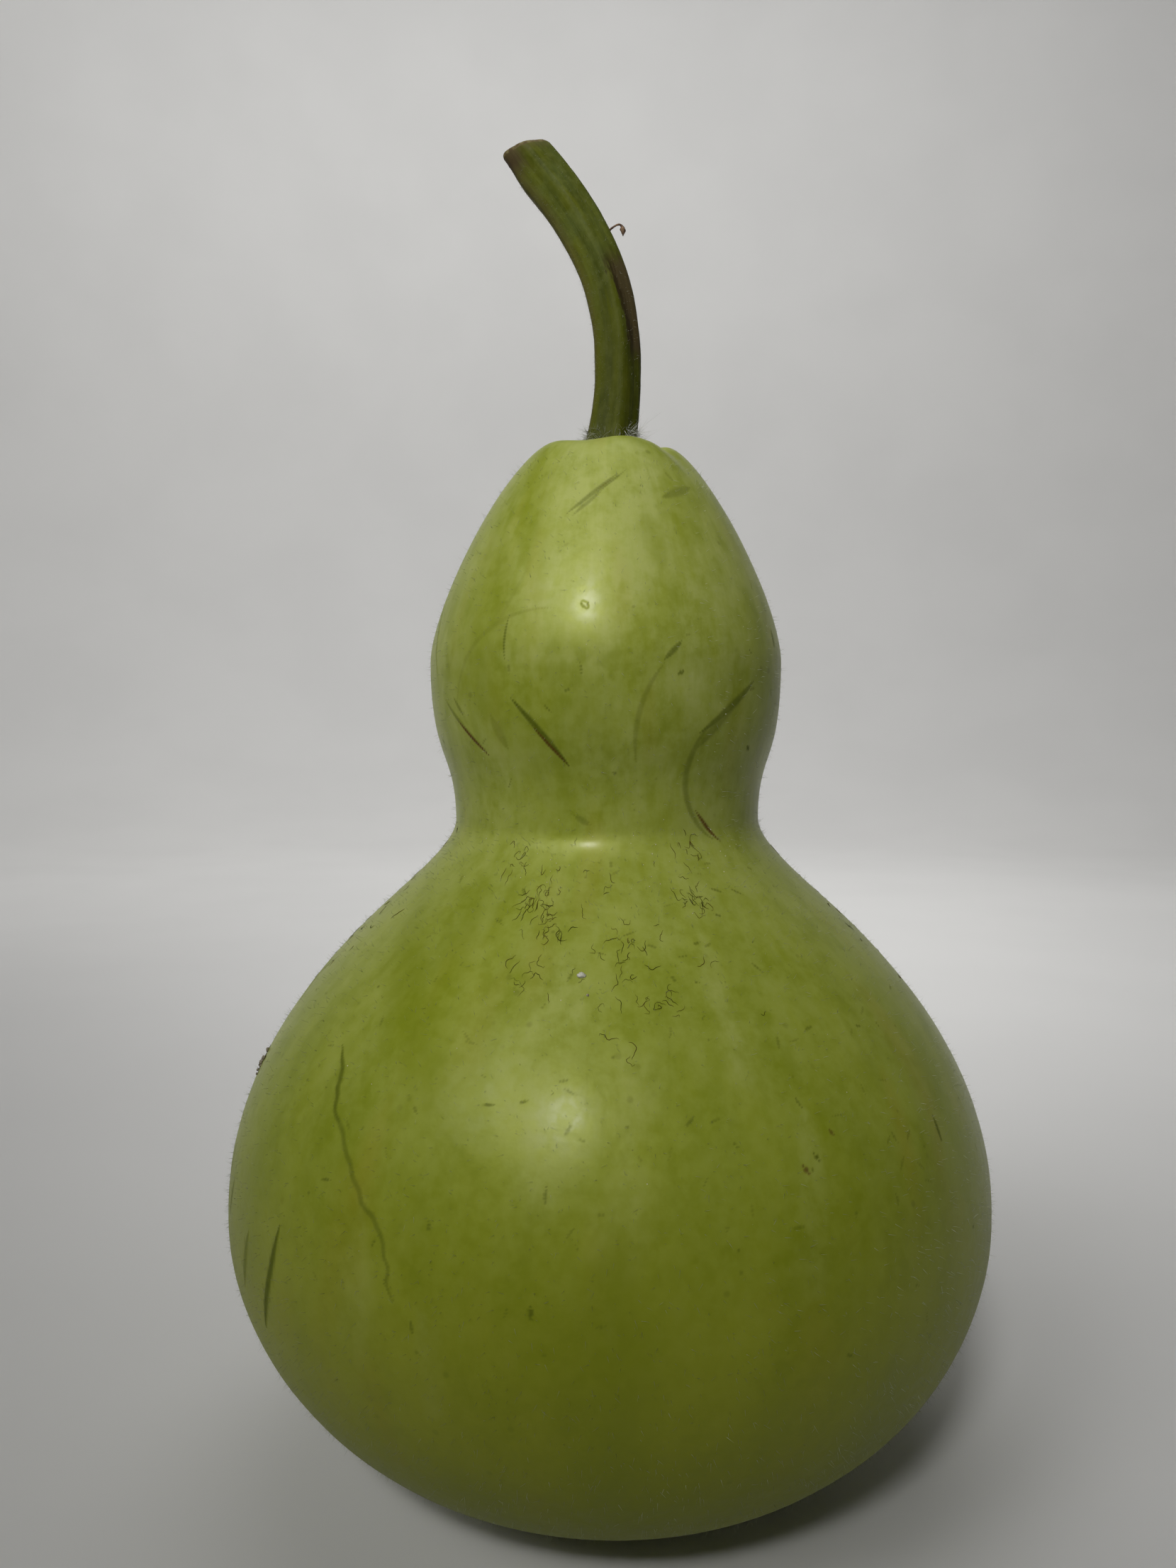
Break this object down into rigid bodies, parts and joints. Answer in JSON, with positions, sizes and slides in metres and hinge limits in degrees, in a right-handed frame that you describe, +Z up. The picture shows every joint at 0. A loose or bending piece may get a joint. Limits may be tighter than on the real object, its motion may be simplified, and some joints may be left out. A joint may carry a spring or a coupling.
{
  "type": "bottle gourd",
  "caption": "Whole bottle gourd with a broad round belly, narrow waist, egg-shaped upper bulb and a bent cut stem, standing on its small flat spot.",
  "frame": {"origin": "middle of the small flat spot that the gourd stands on", "axes": "+Z up along the gourd's length, towards the stem; the stem's cut end bends towards -X"},
  "size_m": [0.1605, 0.1594, 0.2786],
  "materials": {
    "skin": "satin, waxy yellow-green gourd skin with a soft grey bloom",
    "stem_green": "dull, ridged green stem",
    "dried": "dull, dried brown plant matter",
    "fuzz": "fine pale plant hairs"
  },
  "bodies": {
    "root": {"gourd_fruit": "skin", "stem": "stem_green", "withered_tendril": "dried"}
  },
  "joints": []
}
